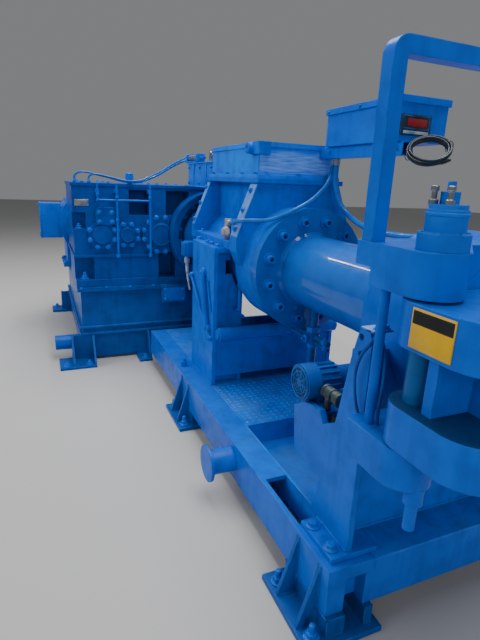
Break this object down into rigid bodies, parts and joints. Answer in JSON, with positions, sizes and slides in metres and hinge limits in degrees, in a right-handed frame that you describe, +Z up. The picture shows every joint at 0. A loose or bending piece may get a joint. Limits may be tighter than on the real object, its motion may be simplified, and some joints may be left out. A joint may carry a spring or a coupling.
{
  "type": "plastic extruder with swing gate",
  "caption": "Floor-standing plastic extruder: gearbox and motor on one base, feed housing, barrel and hinged head gate on another.",
  "frame": {"origin": "on the floor, in the middle of the main base's outer anchor holes, under the barrel axis", "axes": "+X runs downstream from the gearbox to the gate, +Y runs across the line away from the hinge side, +Z is up"},
  "size_m": [5.335, 2.077, 1.945],
  "materials": {
    "machine_blue": "satin",
    "deep_blue": "satin",
    "bare_steel": "satin",
    "brass": "satin"
  },
  "bodies": {
    "machine": {"base_beams": "machine_blue", "base_cross_members": "machine_blue", "base_deck": "deep_blue", "main_feet": "machine_blue", "lifting_trunnions": "machine_blue", "gearbox_base": "machine_blue", "gearbox_base_feet": "machine_blue", "gearbox_lower_case": "machine_blue", "gearbox_upper_case": "machine_blue", "bearing_covers": "machine_blue", "lube_pipes": "machine_blue", "output_housing": "machine_blue", "drive_motor": "machine_blue", "motor_terminal_box": "machine_blue", "coupling_guard": "machine_blue", "feed_pedestal": "machine_blue", "cross_pipe": "machine_blue", "feed_housing": "machine_blue", "throat_walls": "machine_blue", "feed_end_plates": "machine_blue", "feed_screw": "bare_steel", "feed_valve": "brass", "hopper_box": "machine_blue", "hopper_latch": "machine_blue", "rear_feed_box": "machine_blue", "feed_solenoid": "bare_steel", "barrel": "machine_blue", "flange_bolts": "deep_blue", "barrel_pedestal": "machine_blue", "pump_tank": "machine_blue", "pump_motor": "machine_blue", "pump_valves": "brass", "drain_pipe": "machine_blue", "head_block": "machine_blue", "upper_ears": "machine_blue", "lower_ears": "machine_blue", "hinge_pin": "bare_steel", "hinge_cap": "machine_blue", "ear_strut": "machine_blue", "portal_frame": "machine_blue", "control_box": "machine_blue", "support_rail": "machine_blue", "ear_fitting": "machine_blue", "hose_fittings": "bare_steel", "valve_hose": "machine_blue", "head_hose": "machine_blue"},
    "gate": {"gate_upper_arm": "machine_blue", "gate_lower_arm": "machine_blue", "gate_block": "machine_blue"}
  },
  "joints": [
    {"name": "gate_swing", "type": "hinge", "parent": "machine", "child": "gate", "pos_m": [1.086, -0.46, 1.075], "axis": [0, 0, -1], "range_deg": [0, 100]}
  ]
}
